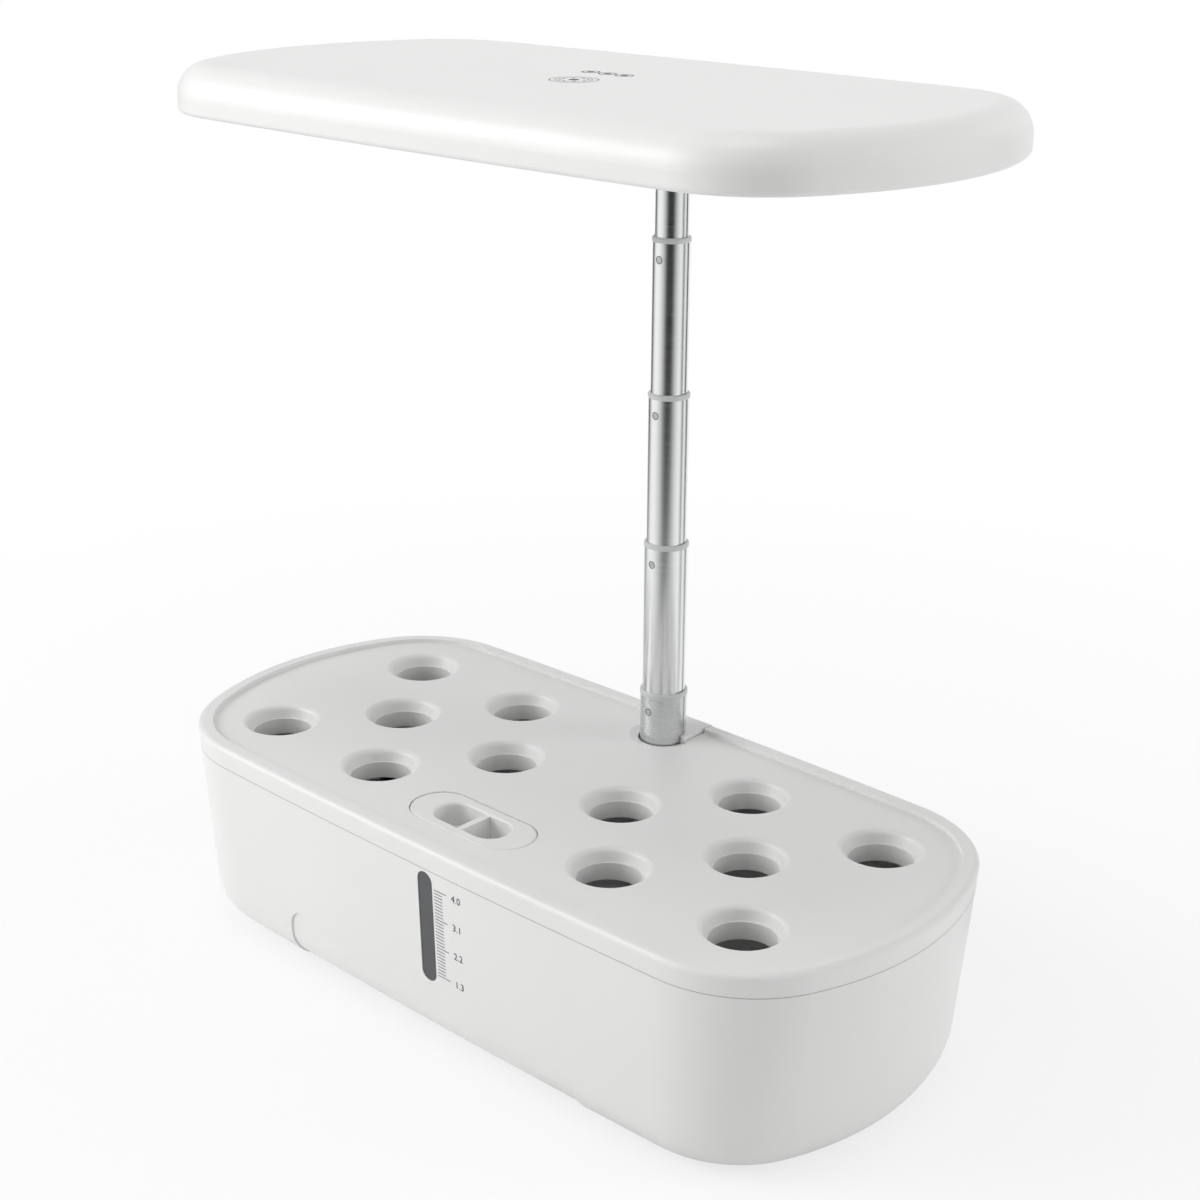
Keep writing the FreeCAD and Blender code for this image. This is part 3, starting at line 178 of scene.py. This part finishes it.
# Diodes: small yellow squares seen through the lens
PHOSPHOR = moulded_plastic("yellow_diode_phosphor", "#D8C66A", "#E6D67C", 0.35, 0.6, 0.03, 1.45)
# Painted shade in the seam between deck and tank, too fine a gap to darken by itself
SEAM_SHADE = moulded_plastic("shaded_abs_seam", "#9A9A99", "#A2A2A1", 0.6, 0.45, 0.02)
# Painted shade in the gap round each pin's head
PIN_GROOVE_SHADE = plated_steel("shaded_pin_groove", "#5C5D5F", "#6A6B6D", 0.5)
# Scale, numbers and touch marks: flat dark grey
PRINT_INK = moulded_plastic("grey_pad_print_ink", "#2C2D2F", "#343538", 0.55, 0.3, 0.01, 1.5)
# Upper tubes: bright, with long soft bands where they mirror the studio and the glowing sheet of painted
# reflection round the pole
ALUMINIUM = brushed_aluminium("brushed_drawn_aluminium", "#EAEBEC", "#F3F4F4", 0.24)
# Lowest tube: duller and greyer than those above it, a copy of the tube aluminium whose greyer colour is
# painted shade
ALUMINIUM_PAINTED_SHADE = brushed_aluminium("aluminium_with_painted_shade", "#D2D3D4", "#D8D9DA", 0.28)
# Pins, screws and shaft: cool grey, a little cloudy
STEEL = plated_steel("zinc_plated_steel", "#A9ABAE", "#BFC1C4", 0.32)
# Lamp lens: clear, with the diodes visible behind it
CLEAR_LENS = clear_acrylic("clear_acrylic_sheet", "#F4F6F6", 0.12)

NODE_MATERIALS = {
    "tank": WHITE_ABS, "grow_deck": WHITE_ABS, "pole_trim": WHITE_ABS, "fill_cap": WHITE_ABS,
    "lamp_top_cover": LAMP_ABS, "lamp_lower_cover": LAMP_ABS, "pole_head": LAMP_ABS,
    "level_window": SMOKED_LENS, "led_lens": CLEAR_LENS, "leds": PHOSPHOR,
    "led_board": WHITE_MASK, "touch_board": SOLDER_MASK,
    "rubber_feet": SOFT_RUBBER, "pump_feet": SOFT_RUBBER, "power_inlet": BLACK_ABS,
    "pump_body": BLACK_ABS, "pump_grille": BLACK_ABS, "pump_outlet": BLACK_ABS,
    "pump_impeller": ACETAL, "pump_shaft": STEEL, "pole_foot_plug": ACETAL,
    "pole_foot_screw": STEEL, "head_clamp": ACETAL, "head_screws": STEEL, "lamp_screws": STEEL,
    "pole_tube_1": ALUMINIUM_PAINTED_SHADE,
}
for number in range(1, 6):
    NODE_MATERIALS.setdefault(f"pole_tube_{number}", ALUMINIUM)
    NODE_MATERIALS[f"pole_collar_{number}"] = ACETAL
    NODE_MATERIALS[f"pole_pin_{number}"] = STEEL
    NODE_MATERIALS[f"pole_slider_{number}"] = ACETAL


def dress_nodes():
    """Give every carried-over node its finish."""
    for name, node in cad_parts.items():
        node.data.materials.clear()
        node.data.materials.append(NODE_MATERIALS[name])


def make_piece(name, points, faces, material, body):
    """Mesh piece from arrays of points and faces, riding on a body."""
    mesh = bpy.data.meshes.new(name)
    mesh.from_pydata(np.asarray(points).tolist(), [], [tuple(face) for face in faces])
    mesh.update()
    piece = bpy.data.objects.new(name, mesh)
    bpy.context.scene.collection.objects.link(piece)
    mesh.materials.append(material)
    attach(piece, body)
    return piece


# Plan outline of the tank and deck at the rim, and how far the walls lean in by the floor
PLAN_LENGTH, PLAN_WIDTH = 392 * MM, 179 * MM
CORNER, END_BOW, SIDE_BOW = 56 * MM, 7 * MM, 2 * MM
END_LEAN, SIDE_LEAN = 8.5 * MM, 3 * MM
LEAN_HEIGHT = RIM_TOP - 1.2 * MM


def arc_run(centre, radius, start, end, count):
    """Points on an arc about a centre, from one direction to another."""
    turn = np.linspace(start, end, count, endpoint=False)
    return np.c_[centre[0] + radius * np.cos(turn), centre[1] + radius * np.sin(turn)]


def plan_outline(length, width, corner, end_bow, side_bow, inset, fine=40):
    """Closed outline about (0, 0): four corner arcs that run tangent into wide arcs along the
    ends and sides, all moved inwards by the inset."""
    half_length, half_width = length / 2, width / 2
    cx, cy = half_length - corner - end_bow, half_width - corner - side_bow
    side_reach = (cx ** 2 + side_bow ** 2) / (2 * side_bow)
    end_reach = (cy ** 2 + end_bow ** 2) / (2 * end_bow)
    side_y, end_x = half_width - corner - side_reach, half_length - corner - end_reach
    low = math.atan2(cy, cx - end_x)
    high = math.atan2(cy - side_y, cx)
    quarter = np.vstack([arc_run((end_x, 0), end_reach + corner - inset, 0, low, fine),
                         arc_run((cx, cy), corner - inset, low, high, fine),
                         arc_run((0, side_y), side_reach + corner - inset, high, math.pi / 2, fine),
                         [[0, half_width - inset]]])
    left = quarter[-2::-1] * [-1, 1]
    top = np.vstack([quarter, left])
    return np.vstack([top, top[-2:0:-1] * [1, -1]])


def base_ring(level, inset):
    """The tank's outline at a height, in the frame: the walls lean in towards the floor."""
    share = (RIM_TOP - level) / LEAN_HEIGHT
    flat = plan_outline(PLAN_LENGTH - 2 * END_LEAN * share, PLAN_WIDTH - 2 * SIDE_LEAN * share,
                        CORNER - SIDE_LEAN * share, END_BOW, SIDE_BOW, inset)
    return np.c_[flat[:, 0], flat[:, 1] + BASE_Y, np.full(len(flat), level)]


def band_faces(rows, count):
    """Quads of a grid whose rows close on themselves, facing outwards for rows that rise."""
    row, column = np.meshgrid(np.arange(rows - 1), np.arange(count), indexing="ij")
    after = (column + 1) % count
    low, high = row * count, (row + 1) * count
    return np.stack((low + column, low + after, high + after, high + column), -1).reshape(-1, 4)


SEAM_LEVEL, SEAM_HALF, SEAM_PROUD = RIM_TOP - 10.14 * MM, 0.14 * MM, 0.02 * MM


def deck_seam():
    """Fine dark line of painted shade where the deck meets the tank: a ribbon on the outline, 10 mm under
    the rim.
    """
    rings = [base_ring(SEAM_LEVEL - SEAM_HALF, -SEAM_PROUD), base_ring(SEAM_LEVEL + SEAM_HALF, -SEAM_PROUD)]
    return make_piece("deck_seam", np.vstack(rings), band_faces(2, len(rings[0])),
                      SEAM_SHADE, "tank_body")


def turned_wall(inner, outer, low, high, centre, count=64):
    """Closed ring wall about an upright axis: inner and outer circles at two heights, joined
    from the last circle back to the first."""
    turn = np.linspace(0, 2 * np.pi, count, endpoint=False)
    rows = [np.c_[centre[0] + radius * np.cos(turn), centre[1] + radius * np.sin(turn), 0 * turn + level]
            for radius, level in ((inner, high), (inner, low), (outer, low), (outer, high))]
    column = np.arange(count)
    after, last = (column + 1) % count, 3 * count
    closing = np.stack([last + column, last + after, after, column], -1)
    return np.vstack(rows), np.vstack([band_faces(4, count), closing])


def gather(parts):
    """Join several (points, faces) lists into one."""
    points, faces, start = [], [], 0
    for flat, rings in parts:
        points.append(np.asarray(flat))
        faces.extend([tuple(start + int(item) for item in ring) for ring in rings])
        start += len(flat)
    return np.vstack(points), faces


# Pod holes: outer rows of four, and a middle row between them
POD_PITCH, POD_ROW, POD_BORE = 71 * MM, 45.5 * MM, 13.8 * MM
BOSS_BOTTOM, SLEEVE_DEPTH, SLEEVE_WALL = RIM_TOP - 11.2 * MM, 4.2 * MM, 1.4 * MM

# Ring of painted shade round a pin: inner and outer radius, and how far it lies off the tube
PIN_RING, PIN_RING_LIFT = (1.4 * MM, 1.8 * MM), 0.03 * MM


def pod_sleeves():
    """Short sleeves that carry each pod hole's bore on below its boss, as deep as the
    photograph shows the walls."""
    spots = [(step * POD_PITCH, BASE_Y + side * POD_ROW) for side in (-1, 1) for step in (-2, -1, 1, 2)]
    spots += [(step * POD_PITCH, BASE_Y) for step in (-1.5, -0.5, 0.5, 1.5)]
    parts = [turned_wall(POD_BORE, POD_BORE + SLEEVE_WALL, BOSS_BOTTOM - SLEEVE_DEPTH, BOSS_BOTTOM, spot)
             for spot in spots]
    points, faces = gather(parts)
    return make_piece("pod_sleeves", points, faces, WHITE_ABS, "deck")


def pin_grooves():
    """Ring of painted shade round each pin's head: a flat ring bent round the front of its tube, where y
    is the tube's middle less the root of its radius squared less x squared."""
    turn = np.linspace(0, 2 * np.pi, 40, endpoint=False)
    for number in range(1, 5):
        low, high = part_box(f"pole_tube_{number}")
        radius, middle = (high.y - low.y) / 2 + PIN_RING_LIFT, (low.y + high.y) / 2
        pin_low, pin_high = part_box(f"pole_pin_{number}")
        level = (pin_low.z + pin_high.z) / 2
        rows = []
        for size in PIN_RING:
            across, up = size * np.sin(turn), size * np.cos(turn)
            rows.append(np.c_[across, middle - np.sqrt(radius ** 2 - across ** 2), level + up])
        body = "tank_body" if number == 1 else f"stage_{number}"
        make_piece(f"pin_groove_{number}", np.vstack(rows), band_faces(2, len(turn)),
                   PIN_GROOVE_SHADE, body)


# Level scale printed on the front wall, to the right of the window
SCALE_LOW, SCALE_HIGH = 38.5 * MM, 80 * MM
SCALE_LEFT = WINDOW_RIGHT - 1.9 * MM
SCALE_SPANS, SPAN_PARTS = 3, 9
LONG_LINE, SHORT_LINE, LINE_HALF = 7.6 * MM, 5.0 * MM, 0.15 * MM
NUMBER_HEIGHT, NUMBER_LEFT, NUMBER_DROP = 4.6 * MM, 10.4 * MM, 1.7 * MM
INK_LIFT = 0.05 * MM
SIDE_REACH = 3.1  # radius of the front wall's bow, in metres


def front_wall(x, z):
    """Y of the front wall: it leans in towards the floor and bows a little along its length."""
    return DECK_LOW.y - 0.15 * MM + (RIM_TOP - z) * SIDE_LEAN / LEAN_HEIGHT + x ** 2 / (2 * SIDE_REACH)


def strip_on_wall(left, right, low, high):
    """Corners of a thin printed strip on the front wall."""
    across = np.array([left, right, right, left])
    upright = np.array([low, low, high, high])
    return np.c_[across, front_wall(across, upright) - INK_LIFT, upright]


def scale_level(share):
    """Height on the scale, from 0 at its top to 1 at its bottom."""
    return SCALE_HIGH - (SCALE_HIGH - SCALE_LOW) * share


def printed_scale():
    """Scale lines: a long one at each volume, short ones at the ninths between."""
    parts = []
    for number in range(SCALE_SPANS * SPAN_PARTS + 1):
        level = scale_level(number / (SCALE_SPANS * SPAN_PARTS))
        length = SHORT_LINE if number % SPAN_PARTS else LONG_LINE
        strip = strip_on_wall(SCALE_LEFT, SCALE_LEFT + length, level - LINE_HALF, level + LINE_HALF)
        parts.append((strip, [(0, 1, 2, 3)]))
    points, faces = gather(parts)
    return make_piece("printed_level_lines", points, faces, PRINT_INK, "tank_body")


def lettering(name, text, height):
    """Plain numbers as a flat mesh: x to the right, y up, from the left end of the baseline."""
    curve = bpy.data.curves.new(name, "FONT")
    curve.body = text
    curve.size = height
    curve.resolution_u = 3
    thing = bpy.data.objects.new(name, curve)
    bpy.context.scene.collection.objects.link(thing)
    bpy.context.view_layer.update()
    mesh = bpy.data.meshes.new_from_object(thing)
    bpy.data.objects.remove(thing)
    points = np.empty(3 * len(mesh.vertices))
    mesh.vertices.foreach_get("co", points)
    points = points.reshape(-1, 3)
    faces = [tuple(polygon.vertices) for polygon in mesh.polygons]
    bpy.data.meshes.remove(mesh)
    return points, faces


def printed_numbers():
    """Volumes beside the long lines."""
    parts = []
    for number, text in enumerate(("4.0", "3.1", "2.2", "1.3")):
        flat, rings = lettering("numbers", text, NUMBER_HEIGHT)
        x = flat[:, 0] + SCALE_LEFT + NUMBER_LEFT
        z = flat[:, 1] + scale_level(number / SCALE_SPANS) - NUMBER_DROP
        parts.append((np.c_[x, front_wall(x, z) - INK_LIFT, z], rings))
    points, faces = gather(parts)
    return make_piece("printed_volumes", points, faces, PRINT_INK, "tank_body")


def flat_circle(radius, centre, count):
    """Points of a level circle at height 0."""
    turn = np.linspace(0, 2 * np.pi, count, endpoint=False)
    return np.c_[centre[0] + radius * np.cos(turn), centre[1] + radius * np.sin(turn), 0 * turn]


def ring_of_dots(radius, size, count, centre):
    """Small round dots on a circle, as flat polygons."""
    return gather([(flat_circle(size, spot, 12), [tuple(range(12))])
                   for spot in flat_circle(radius, centre, count)])


def flat_ring(inner, outer, centre, count=64):
    """Flat ring in the plane."""
    return (np.vstack([flat_circle(outer, centre, count), flat_circle(inner, centre, count)]),
            band_faces(2, count))


# Touch marks on the lamp: middle of the dial, and how far back the keys are
DIAL_CENTRE = (6 * MM, LAMP_TOP.y - 103 * MM)
KEY_PITCH, KEY_SHIFT, KEY_BACK = 9.2 * MM, -5.2 * MM, 25 * MM


def touch_marks():
    """Plain touch marks on the lamp: a dial of two rings with dots, and three small round keys."""
    shapes = [flat_ring(9.6 * MM, 10.0 * MM, DIAL_CENTRE), flat_ring(7.2 * MM, 7.5 * MM, DIAL_CENTRE),
              ring_of_dots(5.6 * MM, 0.7 * MM, 8, DIAL_CENTRE), ring_of_dots(0, 2.2 * MM, 1, DIAL_CENTRE)]
    for number in (-1, 0, 1):
        key = (DIAL_CENTRE[0] + number * KEY_PITCH + KEY_SHIFT, DIAL_CENTRE[1] + KEY_BACK)
        shapes.append(flat_ring(3.2 * MM, 3.9 * MM, key, 32))
        shapes.append(ring_of_dots(0, 1.7 * MM, 1, key))
    points, faces = gather(shapes)
    points[:, 2] = LAMP_TOP.z + INK_LIFT
    return make_piece("printed_touch_marks", points, faces, PRINT_INK, "lamp")


def add_plane(name, centre, across, up, material):
    """Flat four-cornered sheet for the stage."""
    centre, across, up = Vector(centre), Vector(across), Vector(up)
    corners = [centre - across - up, centre + across - up, centre + across + up, centre - across + up]
    mesh = bpy.data.meshes.new(name)
    mesh.from_pydata([tuple(corner) for corner in corners], [], [(0, 1, 2, 3)])
    sheet = bpy.data.objects.new(name, mesh)
    bpy.context.scene.collection.objects.link(sheet)
    mesh.materials.append(material)
    return sheet


def seen_plainly(tree):
    """1 for rays from the camera, from mirrors and through clear plastic, else 0."""
    path = add_node(tree, "ShaderNodeLightPath")
    seen = add_node(tree, "ShaderNodeMath", {0: path.outputs["Is Camera Ray"],
                                             1: path.outputs["Is Glossy Ray"]}, operation="MAXIMUM")
    seen = add_node(tree, "ShaderNodeMath", {0: seen.outputs[0],
                                             1: path.outputs["Is Transmission Ray"]}, operation="MAXIMUM")
    return seen.outputs[0]


def floor_material():
    """White studio paper that keeps the object's shadow close by and, from 0.15 to 0.75 m out,
    runs into plain white."""
    material, tree = new_material("white_studio_paper")
    place = add_node(tree, "ShaderNodeTexCoord").outputs["Object"]
    away = add_node(tree, "ShaderNodeVectorMath", {0: place}, operation="LENGTH")
    fade = add_node(tree, "ShaderNodeMapRange", {"Value": away.outputs["Value"]},
                    from_min=0.15, from_max=0.75, to_min=0.7, to_max=1.0)
    share = add_node(tree, "ShaderNodeMath", {0: seen_plainly(tree), 1: fade.outputs["Result"]},
                     operation="MULTIPLY")
    paper = add_node(tree, "ShaderNodeBsdfDiffuse", color=linear("#F7F7F7"))
    glow = add_node(tree, "ShaderNodeEmission", color=(1, 1, 1, 1), strength=1.0)
    mix = add_node(tree, "ShaderNodeMixShader",
                   {0: share.outputs[0], 1: paper.outputs[0], 2: glow.outputs[0]})
    finish_material(tree, mix)
    return material


def studio_world(strength):
    """Even pale surroundings; the camera, mirrors and clear plastic see plain white."""
    world = bpy.data.worlds.new("pale_studio")
    bpy.context.scene.world = world
    world.use_nodes = True
    tree = world.node_tree
    tree.nodes.clear()
    level = add_node(tree, "ShaderNodeMapRange", {"Value": seen_plainly(tree)},
                     to_min=strength, to_max=1.0)
    background = add_node(tree, "ShaderNodeBackground", {"Strength": level.outputs["Result"]},
                          color=(1, 1, 1, 1))
    add_node(tree, "ShaderNodeOutputWorld", {"Surface": background.outputs[0]})


def soft_light(name, azimuth, elevation, distance, size, power):
    """Square soft box that looks at the middle of the object: angles in degrees, distance and
    size in metres, power in watts."""
    turn, rise = math.radians(azimuth), math.radians(elevation)
    away = Vector((math.sin(turn) * math.cos(rise), -math.cos(turn) * math.cos(rise), math.sin(rise)))
    lamp = bpy.data.lights.new(name, "AREA")
    lamp.shape = "SQUARE"
    lamp.size = size
    lamp.energy = power
    box = bpy.data.objects.new(name, lamp)
    bpy.context.scene.collection.objects.link(box)
    box.location = Vector((0, 0, 0.2)) + away * distance
    box.rotation_euler = away.to_track_quat("Z", "Y").to_euler()
    return box


def painted_reflection_glow():
    """Glow of the sheet of painted reflection, whose grey is its own shade attribute: painted shade for the
    tubes to mirror.
    """
    material, tree = new_material("painted_reflection_glow")
    shade = add_node(tree, "ShaderNodeAttribute", attribute_name="shade")
    shader = add_node(tree, "ShaderNodeEmission", {"Strength": shade.outputs["Fac"]}, color=(1, 1, 1, 1))
    finish_material(tree, shader)
    return material


# Painted reflection: dark bands painted into the glowing sheet, which the tubes mirror: azimuth and width
# in degrees, and depth.
# They were set by comparing brightness across the tubes with the photograph.
PAINTED_REFLECTION_GAPS = ((33, 42, 1.15), (127, 8, 1.0), (163, 8, 1.0), (-98, 20, 0.95))
SHEET_LOW, SHEET_TURNS_UP = 2 * MM, 2.4


def reflected_sheet():
    """Glowing ring-shaped sheet of painted reflection on the floor round the pole, which only
    reflections see, and which rises at 45 degrees beyond 2.4 m. Its painted shade falls from white
    by a bell curve at each gap's azimuth, deeper with distance, so the tubes get their dark bands
    and the lower ones softer bands."""
    turn = np.radians(np.arange(0, 360, 2.0))
    reach = np.geomspace(0.16, 3.8, 32)
    angle, radius = np.meshgrid(turn, reach)
    shade = np.ones_like(angle)
    for azimuth, width, depth in PAINTED_REFLECTION_GAPS:
        off = (np.degrees(angle) - azimuth + 180) % 360 - 180
        shade -= depth * np.exp(-(off / width) ** 2) * np.clip(0.42 + (radius - 0.2) * 0.8, 0, 1)
    points = np.stack([radius * np.sin(angle), POLE_Y - radius * np.cos(angle),
                       SHEET_LOW + np.maximum(radius - SHEET_TURNS_UP, 0)], -1)
    mesh = bpy.data.meshes.new("painted_reflection_sheet")
    mesh.from_pydata(points.reshape(-1, 3).tolist(), [], band_faces(len(reach), len(turn)).tolist())
    grey = mesh.attributes.new("shade", "FLOAT", "POINT")
    grey.data.foreach_set("value", np.clip(shade, 0.02, 1).ravel())
    mesh.materials.append(painted_reflection_glow())
    sheet = bpy.data.objects.new("painted_reflection_sheet", mesh)
    bpy.context.scene.collection.objects.link(sheet)
    # The sheet glows but is no lamp: it only paints reflections
    sheet.visible_camera = sheet.visible_diffuse = False
    sheet.visible_shadow = sheet.visible_transmission = False


# Camera, fitted to the outlines in the photograph
CAMERA_AZIMUTH, CAMERA_ELEVATION, CAMERA_ROLL = 42.97, 20.74, 0.344
CAMERA_DISTANCE, CAMERA_LENS = 857.4 * MM, 60.76
CAMERA_AIM = Vector((0, BASE_Y, RIM_TOP + 140 * MM))
CAMERA_RIGHT, CAMERA_DOWN = 16.2 * MM, 52.4 * MM


def make_camera():
    """Camera at the photograph's place, height and angle."""
    turn, rise, roll = (math.radians(value) for value in (CAMERA_AZIMUTH, CAMERA_ELEVATION, CAMERA_ROLL))
    back = Vector((math.sin(turn) * math.cos(rise), -math.cos(turn) * math.cos(rise), math.sin(rise)))
    level = Vector((math.cos(turn), math.sin(turn), 0))
    upright = back.cross(level)
    right = level * math.cos(roll) + upright * math.sin(roll)
    up = upright * math.cos(roll) - level * math.sin(roll)
    place = CAMERA_AIM + right * CAMERA_RIGHT - up * CAMERA_DOWN + back * CAMERA_DISTANCE
    lens = bpy.data.cameras.new("camera")
    lens.lens = CAMERA_LENS
    lens.sensor_width = 36.0
    lens.clip_start = 0.05
    camera = bpy.data.objects.new("camera", lens)
    bpy.context.scene.collection.objects.link(camera)
    camera.matrix_world = Matrix((
        (right.x, up.x, back.x, place.x),
        (right.y, up.y, back.y, place.y),
        (right.z, up.z, back.z, place.z),
        (0, 0, 0, 1)))
    bpy.context.scene.camera = camera


make_camera()
dress_nodes()
deck_seam()
pod_sleeves()
pin_grooves()
printed_scale()
printed_numbers()
touch_marks()

add_plane("floor", (0, 0, 0), (6, 0, 0), (0, 6, 0), floor_material())
studio_world(0.50)
soft_light("key_light", -45, 24, 2.2, 1.2, 25)
# Kept out of reflections, where it would burn a spot into the lamp's top
soft_light("side_light", 128, 12, 2.4, 1.2, 16).visible_glossy = False
soft_light("top_light", 0, 86, 2.0, 0.8, 7)
reflected_sheet()

bpy.context.scene.view_settings.view_transform = "Standard"
